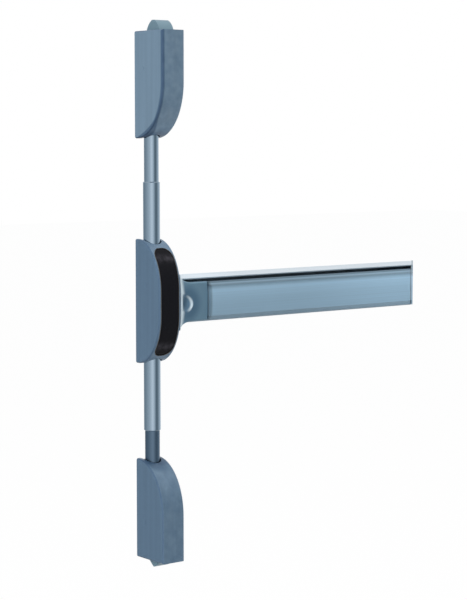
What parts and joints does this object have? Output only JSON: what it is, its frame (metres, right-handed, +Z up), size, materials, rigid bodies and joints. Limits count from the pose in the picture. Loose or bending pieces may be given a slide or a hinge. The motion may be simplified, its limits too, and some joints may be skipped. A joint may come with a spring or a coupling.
{
  "type": "vertical rod exit device",
  "caption": "Surface vertical rod exit device: push bar on a rail, centre case, telescoping rods and latch cases for the head and foot of a door leaf.",
  "frame": {"origin": "middle of the centre case's back, on the face of the door", "axes": "+X along the push bar to the hinge side, -Y out of the door to the person who pushes, +Z up"},
  "size_m": [0.5667, 0.07, 0.8129],
  "materials": {
    "case_finish": "satin aluminium-coloured lacquer with a cool blue-grey cast",
    "rod_finish": "satin drawn tube",
    "rail_finish": "satin anodised extrusion",
    "pad_finish": "fine-brushed anodised extrusion",
    "black_insert": "smooth black",
    "bolt_steel": "satin nickel plate",
    "plated_steel": "zinc plate",
    "nylon": "natural nylon",
    "spring_steel": "bright drawn wire",
    "screw_steel": "zinc plate",
    "pin_steel": "ground steel"
  },
  "bodies": {
    "frame": {"bell_pivots": "pin_steel", "bottom_base_plate": "plated_steel", "bottom_bolt_guide": "plated_steel", "bottom_cover": "case_finish", "bottom_cover_screws": "screw_steel", "bottom_rod_guide": "nylon", "centre_chassis": "plated_steel", "centre_cover": "case_finish", "centre_cover_screws": "screw_steel", "cover_insert": "black_insert", "crank_pivots": "pin_steel", "draw_bar_guides": "nylon", "end_bracket": "plated_steel", "end_cap": "case_finish", "end_cap_screw": "screw_steel", "far_bell_bracket": "plated_steel", "flare_casting": "case_finish", "flare_screws": "screw_steel", "near_bell_bracket": "plated_steel", "rail": "rail_finish", "rail_screws": "screw_steel", "top_base_plate": "plated_steel", "top_bolt_guide": "plated_steel", "top_cover": "case_finish", "top_cover_screws": "screw_steel", "top_rod_guide": "nylon"},
    "push_bar": {"touch_pad": "pad_finish", "pad_end_caps": "pad_finish", "pad_brackets": "plated_steel", "near_pad_spring": "spring_steel", "far_pad_spring": "spring_steel"},
    "near_bell": {"near_bell_crank": "plated_steel", "near_bell_pins": "pin_steel"},
    "far_bell": {"far_bell_crank": "plated_steel", "far_bell_pins": "pin_steel"},
    "draw_bar": {"draw_bar": "plated_steel"},
    "upper_crank": {"top_crank": "plated_steel", "top_crank_pins": "pin_steel"},
    "lower_crank": {"bottom_crank": "plated_steel", "bottom_crank_pins": "pin_steel"},
    "top_rod": {"top_outer_rod": "rod_finish", "top_inner_rod": "rod_finish", "top_rod_link": "plated_steel", "top_link_pin": "pin_steel", "top_clamp_screw": "screw_steel", "top_bolt_carrier": "plated_steel"},
    "bottom_rod": {"bottom_outer_rod": "rod_finish", "bottom_inner_rod": "rod_finish", "bottom_rod_link": "plated_steel", "bottom_link_pin": "pin_steel", "bottom_clamp_screw": "screw_steel", "bottom_bolt_carrier": "plated_steel"},
    "top_latch": {"top_bolt": "bolt_steel", "top_bolt_pin": "pin_steel", "top_bolt_spring": "spring_steel"},
    "bottom_latch": {"bottom_bolt": "bolt_steel", "bottom_bolt_pin": "pin_steel", "bottom_bolt_spring": "spring_steel"}
  },
  "joints": [
    {"name": "push_bar_slide", "type": "slide", "parent": "frame", "child": "push_bar", "axis": [0, 1, 0], "range_m": [0, 0.012], "stiffness_N_per_m": 1500, "springref_m": -0.01, "deforming": ["near_pad_spring", "far_pad_spring"]},
    {"name": "near_bell_pivot", "type": "hinge", "parent": "frame", "child": "near_bell", "pos_m": [0.15, -0.036, 0], "axis": [0, 0, 1], "range_deg": [0, 31.66]},
    {"name": "far_bell_pivot", "type": "hinge", "parent": "frame", "child": "far_bell", "pos_m": [0.4, -0.036, 0], "axis": [0, 0, 1], "range_deg": [0, 31.66]},
    {"name": "draw_bar_slide", "type": "slide", "parent": "frame", "child": "draw_bar", "axis": [-1, 0, 0], "range_m": [0, 0.012]},
    {"name": "upper_crank_pivot", "type": "hinge", "parent": "frame", "child": "upper_crank", "pos_m": [-0.006, -0.0235, 0.018], "axis": [0, 1, 0], "range_deg": [0, 56.01]},
    {"name": "lower_crank_pivot", "type": "hinge", "parent": "frame", "child": "lower_crank", "pos_m": [-0.006, -0.0235, -0.018], "axis": [0, -1, 0], "range_deg": [0, 56.01]},
    {"name": "top_rod_slide", "type": "slide", "parent": "frame", "child": "top_rod", "axis": [0, 0, -1], "range_m": [0, 0.015]},
    {"name": "bottom_rod_slide", "type": "slide", "parent": "frame", "child": "bottom_rod", "axis": [0, 0, 1], "range_m": [0, 0.015]},
    {"name": "top_latch_slide", "type": "slide", "parent": "top_rod", "child": "top_latch", "axis": [0, 0, -1], "range_m": [0, 0.012], "stiffness_N_per_m": 400, "springref_m": -0.02, "deforming": ["top_bolt_spring"]},
    {"name": "bottom_latch_slide", "type": "slide", "parent": "bottom_rod", "child": "bottom_latch", "axis": [0, 0, 1], "range_m": [0, 0.012], "stiffness_N_per_m": 400, "springref_m": -0.02, "deforming": ["bottom_bolt_spring"]}
  ],
  "couplings": [
    {"joint": "near_bell_pivot", "follows": "push_bar_slide", "rad_per_m": 46.038},
    {"joint": "far_bell_pivot", "follows": "push_bar_slide", "rad_per_m": 46.038},
    {"joint": "draw_bar_slide", "follows": "push_bar_slide", "ratio": 1},
    {"joint": "upper_crank_pivot", "follows": "push_bar_slide", "rad_per_m": 81.449},
    {"joint": "lower_crank_pivot", "follows": "push_bar_slide", "rad_per_m": 81.449},
    {"joint": "top_rod_slide", "follows": "push_bar_slide", "ratio": 1.25},
    {"joint": "bottom_rod_slide", "follows": "push_bar_slide", "ratio": 1.25}
  ]
}
